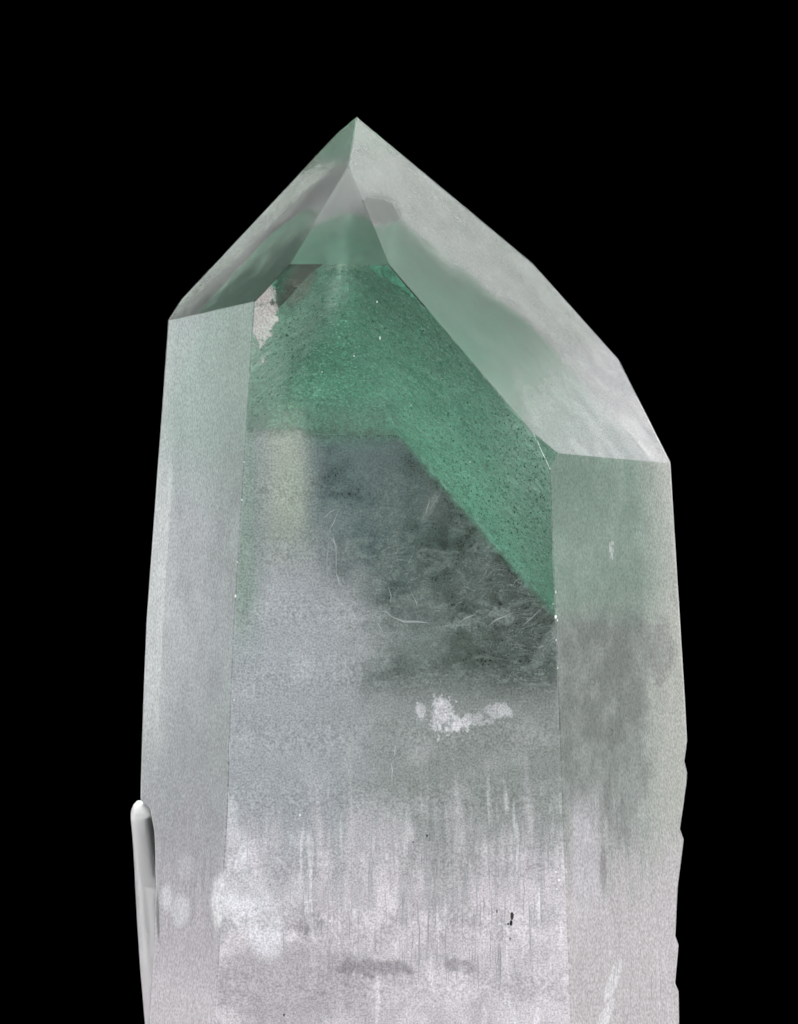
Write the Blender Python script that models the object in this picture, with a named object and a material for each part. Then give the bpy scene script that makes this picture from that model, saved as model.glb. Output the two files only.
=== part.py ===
"""Quartz crystal with a green fuchsite phantom.

One natural quartz crystal stands on a flat cut. Six prism faces lean slightly
inward towards a six-sided point. A film of green fuchsite mica settled on an
earlier, lower point of the same crystal, on the three faces that look to the
front, and clear quartz grew over it. The film is sealed inside, so the quartz
is parted along that earlier point into the older crystal below it and the
clear tip above it.

Lengths are in metres, the crystal's long axis is +Z, and the origin is in the
middle of the flat cut that the crystal rests on.
"""
from math import cos, radians, sin, tan

import bmesh
import bpy
from mathutils import Vector

MM = 0.001

# The whole crystal, from the flat cut to the apex
HEIGHT = 76.4 * MM
APEX_X = -3.68 * MM
APEX_Y = -1.59 * MM

# Each prism face: its compass angle (0 looks to -Y, 60 is the next one to the
# right), its distance from the vertical line through the apex at the apex's
# height, and how far it leans in towards the top, in degrees
PRISM_FACES = {
    "front": (0.0, 12.93 * MM, 1.65),
    "right": (60.0, 17.86 * MM, 2.46),
    "back_right": (120.0, 19.37 * MM, 3.12),
    "back": (180.0, 15.71 * MM, 4.00),
    "back_left": (240.0, 10.50 * MM, 3.41),
    "left": (300.0, 11.50 * MM, 3.94),
}

# Each face of the point: its compass angle, the angle between its normal and
# the long axis, and its distance from the apex. Three faces meet at the apex
# and the others grew further out, so they are smaller.
POINT_FACES = {
    "front": (0.54, 51.33, 2.76 * MM),
    "right": (59.88, 53.35, 0.0),
    "back_right": (120.0, 51.79, 5.22 * MM),
    "back": (180.0, 55.14, 0.0),
    "back_left": (240.0, 51.79, 0.61 * MM),
    "left": (299.22, 49.92, 0.0),
}

# How far below the apex each face of the earlier point lies
PHANTOM_DISTANCE = {
    "front": -5.30 * MM,
    "right": -7.35 * MM,
    "back_right": -2.80 * MM,
    "back": -5.59 * MM,
    "back_left": -5.00 * MM,
    "left": -6.99 * MM,
}

# The faces of the earlier point that the film lies on
FILM_FACES = ("front", "right", "left")

# The film and the room around it, and how far inside the bare faces behind it
# its edge stops
FILM_THICKNESS = 0.6 * MM
GAP = 0.3 * MM
RIM_WALL = 0.6 * MM
EDGE_SETBACK = 0.1 * MM

# Growth ledges. Each row is a height below the apex, how far three of the
# prism's edges move to the right there (left, front left, right), and how far
# the back face steps in. The left and right edges keep to the front faces as
# they move, so the ledges lie behind them: the right edge steps in like the
# teeth of a saw, and the left one makes room for the side crystal.
EDGE_LEVELS = [
    (-2.0, 0.00, 0.00, 0.00, 0.00),
    (37.0, 0.05, 0.00, -0.05, 0.10),
    (43.1, 0.29, 0.10, -0.05, 0.45),
    (45.8, 0.43, 0.20, -0.09, 0.60),
    (46.4, 0.46, 0.22, -0.20, 0.80),
    (47.3, 0.51, 0.25, -0.41, 0.90),
    (48.1, 0.56, 0.28, -0.24, 0.98),
    (48.9, 0.60, 0.31, -0.34, 1.06),
    (49.9, 0.66, 0.33, -0.56, 1.15),
    (50.6, 1.55, 0.34, -0.70, 1.22),
    (52.2, 2.05, 0.35, -1.06, 1.70),
    (53.0, 2.18, 0.35, -0.82, 1.76),
    (56.4, 2.52, 0.36, -1.51, 2.02),
    (59.9, 2.72, 0.38, -1.92, 2.34),
    (60.6, 2.74, 0.38, -1.72, 2.20),
    (63.3, 2.76, 0.40, -2.16, 2.52),
    (63.9, 2.78, 0.40, -1.94, 2.58),
    (66.6, 2.82, 0.40, -2.07, 2.84),
    (70.4, 2.85, 0.40, -2.34, 3.18),
    (71.1, 2.86, 0.40, -2.14, 3.10),
    (76.4, 2.90, 0.40, -2.50, 3.60),
]

# The prism's edges, each between two of its faces, in order round the crystal
PRISM_EDGES = [
    ("front_right", "front", "right"),
    ("right", "right", "back_right"),
    ("back_right", "back_right", "back"),
    ("back_left", "back", "back_left"),
    ("left", "back_left", "left"),
    ("front_left", "left", "front"),
]

# Where the ledges end, behind the left and right edges
LEDGE_WIDTH = 6.0 * MM

# The small facet that trims the shoulder corner at the front right
CORNER_TRIM = 0.34 * MM

# The side crystal: a thin blade that grew along the left edge. Each row is a
# height below the apex, its outer and inner side left of the apex, and half
# its width from front to back. A slit stays open between it and the main
# crystal, and below the slit the two are grown together.
SIDE_CRYSTAL_LEVELS = [
    (50.00, 16.05, 15.45, 0.70),
    (50.25, 16.28, 15.05, 1.35),
    (50.60, 16.42, 14.50, 1.90),
    (50.95, 16.46, 14.50, 2.20),
    (51.30, 16.43, 15.06, 2.35),
    (53.20, 16.26, 14.80, 2.50),
    (55.40, 16.14, 14.45, 2.60),
    (56.10, 16.12, 13.70, 2.65),
    (58.90, 15.97, 13.20, 2.75),
    (62.30, 15.74, 12.60, 2.90),
    (66.40, 15.38, 12.10, 3.00),
    (76.40, 14.88, 11.70, 3.10),
]
SIDE_CRYSTAL_Y = -1.35 * MM
SIDE_CRYSTAL_BEVEL = 0.36

QUARTZ_COLOUR = (0.78, 0.81, 0.80, 1.0)
FUCHSITE_COLOUR = (0.14, 0.36, 0.24, 1.0)

APEX = Vector((APEX_X, APEX_Y, HEIGHT))


def clear_scene():
    """Remove every object that is in the scene."""
    for thing in list(bpy.data.objects):
        bpy.data.objects.remove(thing, do_unlink=True)


def material(name, colour, roughness, transmission):
    """Make a plain material of one colour."""
    made = bpy.data.materials.new(name)
    made.use_nodes = True
    shader = made.node_tree.nodes["Principled BSDF"]
    shader.inputs["Base Color"].default_value = colour
    shader.inputs["Roughness"].default_value = roughness
    shader.inputs["Metallic"].default_value = 0.0
    shader.inputs["Transmission Weight"].default_value = transmission
    return made


def quartz_material(name):
    """Clear to milky quartz."""
    return material(name, QUARTZ_COLOUR, 0.12, 0.8)


def fuchsite_material(name):
    """Green mica."""
    return material(name, FUCHSITE_COLOUR, 0.55, 0.0)


def outward(compass, from_axis):
    """Unit normal of a face, from its compass angle and its angle to +Z."""
    around = radians(compass)
    down = radians(from_axis)
    return Vector((sin(around) * sin(down), -cos(around) * sin(down), cos(down)))


def face_line(face, depth, inset):
    """Direction and distance of a prism face's line at a height below the apex."""
    compass, distance, lean = PRISM_FACES[face]
    around = radians(compass)
    reach = distance + depth * tan(radians(lean)) - inset
    return sin(around), -cos(around), reach


def edge_point(first, second, depth, inset):
    """Where two prism faces meet at a height below the apex, seen from above."""
    ax, ay, a = face_line(first, depth, inset)
    bx, by, b = face_line(second, depth, inset)
    scale = ax * by - bx * ay
    return (a * by - b * ay) / scale, (ax * b - bx * a) / scale


def prism_ring(level, inset):
    """The prism's outline at one of the edge levels: its six corners, and where the ledges end."""
    depth_mm, left, front_left, right, back = level
    depth = depth_mm * MM
    corner = {
        name: Vector((*edge_point(first, second, depth, inset), -depth))
        for name, first, second in PRISM_EDGES
    }
    along_left = (corner["front_left"] - corner["left"]).normalized()
    along_right = (corner["front_right"] - corner["right"]).normalized()
    behind_left = (corner["back_left"] - corner["left"]).normalized()
    behind_right = (corner["back_right"] - corner["right"]).normalized()
    step_in = Vector((0.0, -back * MM, 0.0))
    ring = [
        corner["front_right"],
        corner["right"] + along_right * (right * MM / along_right.x),
        corner["right"] + behind_right * LEDGE_WIDTH,
        corner["back_right"] + step_in,
        corner["back_left"] + step_in,
        corner["left"] + behind_left * LEDGE_WIDTH,
        corner["left"] + along_left * (left * MM / along_left.x),
        corner["front_left"] + Vector((front_left * MM, 0.0, 0.0)),
    ]
    return [APEX + point for point in ring]


def loft(rings):
    """Join rings of points, top ring first, into one closed body."""
    mesh = bmesh.new()
    layers = [[mesh.verts.new(point) for point in ring] for ring in rings]
    count = len(layers[0])
    for upper, lower in zip(layers, layers[1:]):
        for k in range(count):
            nxt = (k + 1) % count
            mesh.faces.new((upper[k], lower[k], lower[nxt], upper[nxt]))
    mesh.faces.new(layers[0])
    mesh.faces.new(list(reversed(layers[-1])))
    bmesh.ops.recalc_face_normals(mesh, faces=mesh.faces)
    return mesh


def cut(mesh, normal, distance):
    """Cut a body flat by a plane, given by its distance from the apex."""
    geometry = mesh.verts[:] + mesh.edges[:] + mesh.faces[:]
    result = bmesh.ops.bisect_plane(
        mesh,
        geom=geometry,
        dist=1e-7,
        plane_co=APEX + normal * distance,
        plane_no=normal,
        clear_outer=True,
    )
    edges = [item for item in result["geom_cut"] if isinstance(item, bmesh.types.BMEdge)]
    if edges:
        bmesh.ops.edgeloop_fill(mesh, edges=edges)
    bmesh.ops.recalc_face_normals(mesh, faces=mesh.faces)


def cut_point(mesh):
    """Cut the six faces of the crystal's point."""
    for compass, from_axis, distance in POINT_FACES.values():
        cut(mesh, outward(compass, from_axis), distance)


def cut_earlier_point(mesh, growth, bare_growth):
    """Cut the earlier point's faces, moved out by one growth under the film and by another behind it."""
    for face, (compass, from_axis, _) in POINT_FACES.items():
        move = growth if face in FILM_FACES else bare_growth
        cut(mesh, outward(compass, from_axis), PHANTOM_DISTANCE[face] + move)


def cut_film_faces(mesh, growth):
    """Cut only the faces that carry the film, moved out by some growth."""
    for face in FILM_FACES:
        compass, from_axis, _ = POINT_FACES[face]
        cut(mesh, outward(compass, from_axis), PHANTOM_DISTANCE[face] + growth)


def cut_shoulder_corner(mesh):
    """Trim the corner where the front, the right face and the point meet."""
    front = outward(PRISM_FACES["front"][0], 90.0 - PRISM_FACES["front"][2])
    right = outward(PRISM_FACES["right"][0], 90.0 - PRISM_FACES["right"][2])
    top = outward(POINT_FACES["right"][0], POINT_FACES["right"][1])
    normal = (front + right + 1.4 * top).normalized()
    corner = max(
        (vertex.co for vertex in mesh.verts if vertex.co.z > HEIGHT - 30.0 * MM),
        key=lambda point: point.dot(normal),
    )
    cut(mesh, normal, (corner - APEX).dot(normal) - CORNER_TRIM)


def crystal(levels, inset=0.0):
    """The six-sided crystal between the given levels, with no point cut yet."""
    return loft([prism_ring(level, inset) for level in levels])


def side_crystal():
    """The thin parallel crystal at the lower left, with its rounded head."""
    rings = []
    for depth_mm, outer, inner, half in SIDE_CRYSTAL_LEVELS:
        left = -outer * MM
        right = -inner * MM
        deep = half * MM
        trim_x = (right - left) * SIDE_CRYSTAL_BEVEL
        trim_y = deep * SIDE_CRYSTAL_BEVEL
        outline = [
            (left + trim_x, -deep),
            (right - trim_x, -deep),
            (right, -deep + trim_y),
            (right, deep - trim_y),
            (right - trim_x, deep),
            (left + trim_x, deep),
            (left, deep - trim_y),
            (left, -deep + trim_y),
        ]
        rings.append([
            APEX + Vector((x, SIDE_CRYSTAL_Y + y, -depth_mm * MM)) for x, y in outline
        ])
    return loft(rings)


def add_object(name, mesh):
    """Turn a mesh into an object of the scene."""
    data = bpy.data.meshes.new(name)
    mesh.to_mesh(data)
    mesh.free()
    thing = bpy.data.objects.new(name, data)
    bpy.context.scene.collection.objects.link(thing)
    return thing


def hide_tool(thing):
    """Keep a shape that only cuts or joins out of the finished part."""
    thing.hide_render = True
    thing.display_type = "WIRE"
    return thing


def boolean(thing, tool, operation):
    """Join or cut an object with another one."""
    step = thing.modifiers.new(operation.title() + " " + tool.name, "BOOLEAN")
    step.operation = operation
    step.solver = "EXACT"
    step.object = tool


def make_quartz_body():
    """The older crystal, up to the earlier point, with what grew on it."""
    mesh = crystal(EDGE_LEVELS)
    cut_earlier_point(mesh, 0.0, 0.0)
    body = add_object("quartz_body", mesh)
    body.data.materials.append(quartz_material("older quartz"))
    boolean(body, hide_tool(add_object("side crystal", side_crystal())), "UNION")
    return body


def make_fuchsite_phantom():
    """The green film: the skin of the earlier point's front, one thickness deep."""
    inset = RIM_WALL + GAP
    mesh = crystal(EDGE_LEVELS[:3], inset)
    cut_earlier_point(mesh, GAP + FILM_THICKNESS, -EDGE_SETBACK)
    film = add_object("fuchsite_phantom", mesh)
    film.data.materials.append(fuchsite_material("green mica"))
    core = crystal(EDGE_LEVELS[:4], -5.0 * MM)
    cut_film_faces(core, GAP)
    boolean(film, hide_tool(add_object("inside of the film", core)), "DIFFERENCE")
    return film


def make_quartz_tip():
    """The clear quartz that grew over the film and made today's point."""
    mesh = crystal(EDGE_LEVELS[:3])
    cut_point(mesh)
    cut_shoulder_corner(mesh)
    tip = add_object("quartz_tip", mesh)
    tip.data.materials.append(quartz_material("clear quartz"))
    seat = crystal(EDGE_LEVELS[:4], -5.0 * MM)
    cut_earlier_point(seat, GAP, GAP)
    boolean(tip, hide_tool(add_object("seat on the older crystal", seat)), "DIFFERENCE")
    pocket = crystal(EDGE_LEVELS[:4], RIM_WALL)
    cut_earlier_point(pocket, GAP + FILM_THICKNESS + GAP, GAP - EDGE_SETBACK)
    boolean(tip, hide_tool(add_object("room for the film", pocket)), "DIFFERENCE")
    return tip


def main():
    clear_scene()
    make_quartz_body()
    make_fuchsite_phantom()
    make_quartz_tip()


main()
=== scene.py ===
# %% [markdown]
# # Fuchsite in quartz
#
# A clear quartz crystal has grown over an older, shorter point of itself. A
# film of green fuchsite, a chrome mica, settled on that older point, so it now
# hangs inside the clear quartz as a green ghost of a pyramid. Lower down the
# quartz turns milky. This lesson dresses the plain solids of the CAD model:
# the clear quartz, the green film with its glinting flakes, and the milky
# veils, streaks and specks inside.

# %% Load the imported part
import math
import random
from bisect import bisect_left
from itertools import accumulate

import bmesh
import bpy
from mathutils import Matrix, Vector, noise
from mathutils.bvhtree import BVHTree


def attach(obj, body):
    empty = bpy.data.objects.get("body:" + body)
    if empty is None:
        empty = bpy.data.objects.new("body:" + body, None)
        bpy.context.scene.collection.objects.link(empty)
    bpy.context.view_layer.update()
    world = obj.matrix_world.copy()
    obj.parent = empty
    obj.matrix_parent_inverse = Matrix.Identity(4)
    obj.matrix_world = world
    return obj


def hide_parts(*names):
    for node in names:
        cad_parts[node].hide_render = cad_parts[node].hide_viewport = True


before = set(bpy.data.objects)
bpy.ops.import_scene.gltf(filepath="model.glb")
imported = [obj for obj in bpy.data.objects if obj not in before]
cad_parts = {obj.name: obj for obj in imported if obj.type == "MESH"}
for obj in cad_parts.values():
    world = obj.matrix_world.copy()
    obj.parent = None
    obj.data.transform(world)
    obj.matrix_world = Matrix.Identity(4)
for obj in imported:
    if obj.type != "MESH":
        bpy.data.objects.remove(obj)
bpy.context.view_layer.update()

MM = 0.001

# %% [markdown]
# ## The crystal as a set of planes
#
# A crystal is bounded by flat faces, so it could be modelled by hand, but it is
# easier to say where its planes are and let Blender find the corners. Quartz
# fixes the directions: prism faces every 60 degrees, and point faces whose
# normals stand about 52 degrees from the long axis. Only the distances differ
# from crystal to crystal. These are the CAD model's own values, in millimetres
# from the apex.

# %% The crystal's measures
APEX = Vector((-3.68 * MM, -1.59 * MM, 76.4 * MM))

# compass angle, distance from the axis at the apex's height in mm, lean
PRISM_FACES = {
    "front": (0.0, 12.93, 1.65),
    "right": (60.0, 17.86, 2.46),
    "back_right": (120.0, 19.37, 3.12),
    "back": (180.0, 15.71, 4.00),
    "back_left": (240.0, 10.50, 3.41),
    "left": (300.0, 11.50, 3.94),
}

# compass angle, angle from the long axis, distance from the apex in mm, and
# the distance of the older point's face below the apex in mm
POINT_FACES = {
    "front": (0.54, 51.33, 2.76, -4.70),
    "right": (59.88, 53.35, 0.0, -6.75),
    "back_right": (120.0, 51.79, 5.22, -2.20),
    "back": (180.0, 55.14, 0.0, -4.99),
    "back_left": (240.0, 51.79, 0.61, -4.40),
    "left": (299.22, 49.92, 0.0, -6.39),
}

# mm below the apex, then the moves in mm of the prism's edges: left, front
# left, right, and how far the back face steps in
EDGE_LEVELS = [
    (-2.0, 0.00, 0.00, 0.00, 0.00),
    (37.0, 0.05, 0.00, -0.05, 0.10),
    (43.1, 0.29, 0.10, -0.05, 0.45),
    (45.8, 0.43, 0.20, -0.09, 0.60),
    (46.4, 0.46, 0.22, -0.20, 0.80),
    (47.3, 0.51, 0.25, -0.41, 0.90),
    (48.1, 0.56, 0.28, -0.24, 0.98),
    (48.9, 0.60, 0.31, -0.34, 1.06),
    (49.9, 0.66, 0.33, -0.56, 1.15),
    (50.6, 1.55, 0.34, -0.70, 1.22),
    (52.2, 2.05, 0.35, -1.06, 1.70),
    (53.0, 2.18, 0.35, -0.82, 1.76),
    (56.4, 2.52, 0.36, -1.51, 2.02),
    (59.9, 2.72, 0.38, -1.92, 2.34),
    (60.6, 2.74, 0.38, -1.72, 2.20),
    (63.3, 2.76, 0.40, -2.16, 2.52),
    (63.9, 2.78, 0.40, -1.94, 2.58),
    (66.6, 2.82, 0.40, -2.07, 2.84),
    (70.4, 2.85, 0.40, -2.34, 3.18),
    (71.1, 2.86, 0.40, -2.14, 3.10),
    (76.4, 2.90, 0.40, -2.50, 3.60),
]

PRISM_EDGES = [
    ("front_right", "front", "right"),
    ("right", "right", "back_right"),
    ("back_right", "back_right", "back"),
    ("back_left", "back", "back_left"),
    ("left", "back_left", "left"),
    ("front_left", "left", "front"),
]

# where the ledges end, in mm behind the left and right edges
LEDGE_WIDTH = 6.0

# %% Corners of the prism at any height
def outward(compass, from_axis):
    """Unit normal from a compass angle and an angle to the long axis."""
    around, down = math.radians(compass), math.radians(from_axis)
    flat = math.sin(down)
    return Vector((math.sin(around) * flat, -math.cos(around) * flat, math.cos(down)))


def edge_point(first, second, depth, inset):
    """Where two prism faces meet, in mm from the axis, seen from above."""
    lines = []
    for face in (first, second):
        compass, distance, lean = PRISM_FACES[face]
        around = math.radians(compass)
        reach = distance + depth * math.tan(math.radians(lean)) - inset
        lines.append((math.sin(around), -math.cos(around), reach))
    (ax, ay, a), (bx, by, b) = lines
    scale = ax * by - bx * ay
    return (a * by - b * ay) / scale, (ax * b - bx * a) / scale


def level_at(depth):
    """The edge moves at any depth in mm, between two rows of EDGE_LEVELS."""
    for upper, lower in zip(EDGE_LEVELS, EDGE_LEVELS[1:]):
        if upper[0] <= depth <= lower[0]:
            share = (depth - upper[0]) / (lower[0] - upper[0])
            return tuple(u + share * (w - u) for u, w in zip(upper, lower))
    return EDGE_LEVELS[-1]


def prism_ring(level, inset=0.0):
    """The prism's outline at one level: its six corners, and where the ledges end."""
    depth, left, front_left, right, back = level
    corner = {}
    for name, first, second in PRISM_EDGES:
        corner[name] = Vector((*edge_point(first, second, depth, inset), -depth))
    along_left = (corner["front_left"] - corner["left"]).normalized()
    along_right = (corner["front_right"] - corner["right"]).normalized()
    behind_left = (corner["back_left"] - corner["left"]).normalized()
    behind_right = (corner["back_right"] - corner["right"]).normalized()
    step_in = Vector((0.0, -back, 0.0))
    ring = [
        corner["front_right"],
        corner["right"] + along_right * (right / along_right.x),
        corner["right"] + behind_right * LEDGE_WIDTH,
        corner["back_right"] + step_in,
        corner["back_left"] + step_in,
        corner["left"] + behind_left * LEDGE_WIDTH,
        corner["left"] + along_left * (left / along_left.x),
        corner["front_left"] + Vector((front_left, 0.0, 0.0)),
    ]
    return [APEX + point * MM for point in ring]


for corner in prism_ring(level_at(40.0)):
    print("corner at 40 mm below the apex:", [round(v / MM, 1) for v in corner])

# %% Solids from rings and planes
ON_PLANE = 1e-7


def loft(rings):
    """Join rings of points, top ring first, into one closed body."""
    mesh = bmesh.new()
    layers = [[mesh.verts.new(point) for point in ring] for ring in rings]
    count = len(layers[0])
    for upper, lower in zip(layers, layers[1:]):
        for k in range(count):
            nxt = (k + 1) % count
            mesh.faces.new((upper[k], lower[k], lower[nxt], upper[nxt]))
    mesh.faces.new(layers[0])
    mesh.faces.new(list(reversed(layers[-1])))
    bmesh.ops.recalc_face_normals(mesh, faces=mesh.faces)
    return mesh


def cut(mesh, normal, distance):
    """Cut a body flat by a plane, given in metres from the apex."""
    result = bmesh.ops.bisect_plane(
        mesh, geom=mesh.verts[:] + mesh.edges[:] + mesh.faces[:], dist=ON_PLANE,
        plane_co=APEX + normal * distance, plane_no=normal, clear_outer=True,
    )
    edges = [item for item in result["geom_cut"] if isinstance(item, bmesh.types.BMEdge)]
    if edges:
        bmesh.ops.edgeloop_fill(mesh, edges=edges)
    bmesh.ops.recalc_face_normals(mesh, faces=mesh.faces)


def refine(mesh, longest, rounds):
    """Cut the faces into triangles, and halve every edge that is longer than a length."""
    bmesh.ops.triangulate(mesh, faces=mesh.faces)
    for _ in range(rounds):
        long_edges = [e for e in mesh.edges if e.calc_length() > longest]
        if not long_edges:
            break
        bmesh.ops.subdivide_edges(mesh, edges=long_edges, cuts=1)
        bmesh.ops.triangulate(mesh, faces=[f for f in mesh.faces if len(f.verts) > 3])


def add_object(name, mesh, material=None):
    """Turn a bmesh into an object of the scene."""
    data = bpy.data.meshes.new(name)
    mesh.to_mesh(data)
    mesh.free()
    thing = bpy.data.objects.new(name, data)
    bpy.context.scene.collection.objects.link(thing)
    if material:
        data.materials.append(material)
    return thing


def settle(thing):
    """Apply an object's modifiers and give it a mesh of its own."""
    graph = bpy.context.evaluated_depsgraph_get()
    data = bpy.data.meshes.new_from_object(thing.evaluated_get(graph), depsgraph=graph)
    thing.modifiers.clear()
    thing.data = data


# %% [markdown]
# ## Shader maths as Python
#
# A material's pattern is a sum of masks and noises. Wiring each Math node by
# hand hides the idea, so a small class wraps a socket and turns `a * b + c`
# into the nodes for it. Every other node comes from one method. A colour is
# built up as a painter would: a base colour, and coats over it, each with a
# mask that says where it lies.

# %% The wrapped socket
class Wire:
    """A socket whose arithmetic adds Math or Vector Math nodes."""

    def __init__(self, tree, socket):
        self.tree = tree
        self.socket = socket

    def _math(self, operation, first, second):
        """One Math node, or a Vector Math node where a colour or a vector takes part."""
        types = {value.socket.type for value in (first, second) if isinstance(value, Wire)}
        kind = "ShaderNodeVectorMath" if types & {"VECTOR", "RGBA"} else "ShaderNodeMath"
        return node(self.tree, kind, {"operation": operation}, {0: first, 1: second})

    def __add__(self, other):
        return self._math("ADD", self, other)

    def __radd__(self, other):
        return self._math("ADD", other, self)

    def __sub__(self, other):
        return self._math("SUBTRACT", self, other)

    def __rsub__(self, other):
        return self._math("SUBTRACT", other, self)

    def __mul__(self, other):
        return self._math("MULTIPLY", self, other)

    def __rmul__(self, other):
        return self._math("MULTIPLY", other, self)

    def least(self, other):
        """The smaller of two values."""
        return self._math("MINIMUM", self, other)

    def most(self, other):
        """The larger of two values."""
        return self._math("MAXIMUM", self, other)

    def step(self, low, high):
        """0 below low, 1 above high, and a smooth slope between."""
        settings = {"interpolation_type": "SMOOTHSTEP"}
        return node(self.tree, "ShaderNodeMapRange", settings, {0: self, 1: low, 2: high, 3: 0.0, 4: 1.0})

    def blend(self, first, second):
        """Mix two colours, with this value as the factor."""
        settings = {"data_type": "RGBA"}
        return node(self.tree, "ShaderNodeMix", settings, {0: self, 6: first, 7: second}, 2)


def node(tree, kind, settings=None, values=None, output=0):
    """Add any node: settings first, then values or links, and wrap one output."""
    made = tree.nodes.new(kind)
    for name, value in (settings or {}).items():
        setattr(made, name, value)
    for key, value in (values or {}).items():
        socket = made.inputs[key]
        if isinstance(value, Wire):
            tree.links.new(value.socket, socket)
        elif socket.type == "RGBA":
            socket.default_value = (*value, 1.0)
        elif socket.type == "VECTOR" and isinstance(value, (int, float)):
            socket.default_value = (value, value, value)
        else:
            socket.default_value = value
    return Wire(tree, made.outputs[output])


def coats(base, *layers):
    """Lay coats over a base colour: each is a mask, and the colour that shows where it is 1."""
    for mask, colour in layers:
        base = mask.blend(base, colour)
    return base


# %% Starting a material
def new_material(name, **constants):
    """A Principled material with constant sockets set; returns it, its tree and its shader."""
    material = bpy.data.materials.new(name)
    material.use_nodes = True
    tree = material.node_tree
    shader = tree.nodes["Principled BSDF"]
    for socket, value in constants.items():
        shader.inputs[socket.replace("_", " ")].default_value = value
    return material, tree, shader


def feed(tree, shader, socket, value):
    """Link a wire to one of the shader's sockets."""
    tree.links.new(value.socket, shader.inputs[socket])


def bump(tree, shader, strength, distance, height):
    """Let a height bend the light: the distance is in metres."""
    values = {"Strength": strength, "Distance": distance, "Height": height}
    feed(tree, shader, "Normal", node(tree, "ShaderNodeBump", values=values))


def place(tree):
    """Object coordinates in metres: the same frame as the CAD model."""
    return node(tree, "ShaderNodeTexCoord", output=3)


def facing(tree):
    """The direction that the surface looks in."""
    return node(tree, "ShaderNodeTexCoord", output=1)


def axis(wire, letter):
    """One coordinate of a place or a direction."""
    return node(wire.tree, "ShaderNodeSeparateXYZ", values={0: wire}, output="XYZ".index(letter))


def grain(where, scale, detail=3.0, roughness=0.55, distortion=0.0):
    """Noise between 0 and 1; scale is features per metre."""
    values = {
        "Vector": where, "Scale": scale, "Detail": detail, "Roughness": roughness, "Distortion": distortion,
    }
    return node(where.tree, "ShaderNodeTexNoise", values=values)


# %% [markdown]
# ## Clear quartz
#
# Clear quartz is plain glass to the renderer: full transmission, an index of
# refraction of 1.544, and a trace of absorption. All the light play in the
# photograph comes from the shape, so the mesh has the real planes and thin
# bevels on its edges, which catch light as fine bright lines. The faces are not
# polished: growth left them faintly uneven, so a soft bump bends the highlights,
# and the point's faces are duller than the prism's. A second, rubbed finish is
# for the side crystal, whose skin is worn.

# %% The clear quartz material
QUARTZ_IOR = 1.544
POINT_DULLNESS = 0.16
ABSORBED = (0.90, 0.94, 0.92)
ABSORPTION = 4.0


def clear_quartz(name, rough):
    """Clear quartz, with the roughness of its prism faces."""
    material, tree, shader = new_material(
        name, Base_Color=(0.985, 0.99, 0.985, 1.0), IOR=QUARTZ_IOR, Transmission_Weight=1.0,
    )
    spot = place(tree)
    wavy = grain(spot, 260.0, 2.0) * 0.35 + grain(spot, 1400.0, 3.0) * 0.08
    bump(tree, shader, 0.25, 0.06 * MM, wavy)
    point = axis(facing(tree), "Z").step(0.30, 0.45)
    feed(tree, shader, "Roughness", grain(spot, 420.0, 2.0) * 0.06 + rough + point * POINT_DULLNESS)
    absorb = node(tree, "ShaderNodeVolumeAbsorption", values={"Color": ABSORBED, "Density": ABSORPTION})
    feed(tree, tree.nodes["Material Output"], "Volume", absorb)
    return material


quartz = clear_quartz("clear quartz", 0.012)
rubbed = clear_quartz("rubbed quartz", 0.38)
print("finishes:", quartz.name, "and", rubbed.name)

# %% The main crystal
BEVEL = 0.05 * MM
SHARP = math.radians(14)
UPRIGHT = 0.35

# the worn corner at the point's right: how deep it is cut, how much the cut
# leans towards the point's face, and how far down the corner may lie
WORN_DEPTH = 0.34 * MM
WORN_LEAN = 1.4
WORN_REACH = 30 * MM


def face_normal(name):
    """Unit normal of a prism face."""
    compass, _, lean = PRISM_FACES[name]
    return outward(compass, 90.0 - lean)


def trim_corner(mesh):
    """Wear back the corner where the front, the right and the point's right face meet."""
    top = outward(*POINT_FACES["right"][:2])
    normal = (face_normal("front") + face_normal("right") + WORN_LEAN * top).normalized()
    high = [v.co for v in mesh.verts if v.co.z > APEX.z - WORN_REACH]
    corner = max(high, key=lambda p: p.dot(normal))
    cut(mesh, normal, (corner - APEX).dot(normal) - WORN_DEPTH)


def pointed_body(inset=0.0):
    """The crystal's outside, moved in by an inset in mm."""
    mesh = loft([prism_ring(level, inset) for level in EDGE_LEVELS])
    for compass, from_axis, distance, _ in POINT_FACES.values():
        cut(mesh, outward(compass, from_axis), (distance - inset) * MM)
    trim_corner(mesh)
    mesh.normal_update()
    return mesh


def crystal_mesh():
    """The main crystal, with thin bevels on the prism's front edges."""
    mesh = pointed_body()
    edges = [e for e in mesh.edges if len(e.link_faces) == 2 and e.calc_face_angle() > SHARP
             and min(f.normal.y for f in e.link_faces) < 0.0
             and max(abs(f.normal.z) for f in e.link_faces) < UPRIGHT]
    bmesh.ops.bevel(
        mesh, geom=edges, offset=BEVEL, segments=2, profile=0.5, affect="EDGES", clamp_overlap=True,
    )
    bmesh.ops.recalc_face_normals(mesh, faces=mesh.faces)
    return mesh


crystal = add_object("quartz_crystal", crystal_mesh(), quartz)
print("main crystal:", len(crystal.data.polygons), "faces")

# %% [markdown]
# The side crystal is a thin blade that grew beside the left edge, with a
# rounded head and an open slit behind it. Lower down it is grown together with
# the crystal, so a Boolean union joins them.

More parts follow.
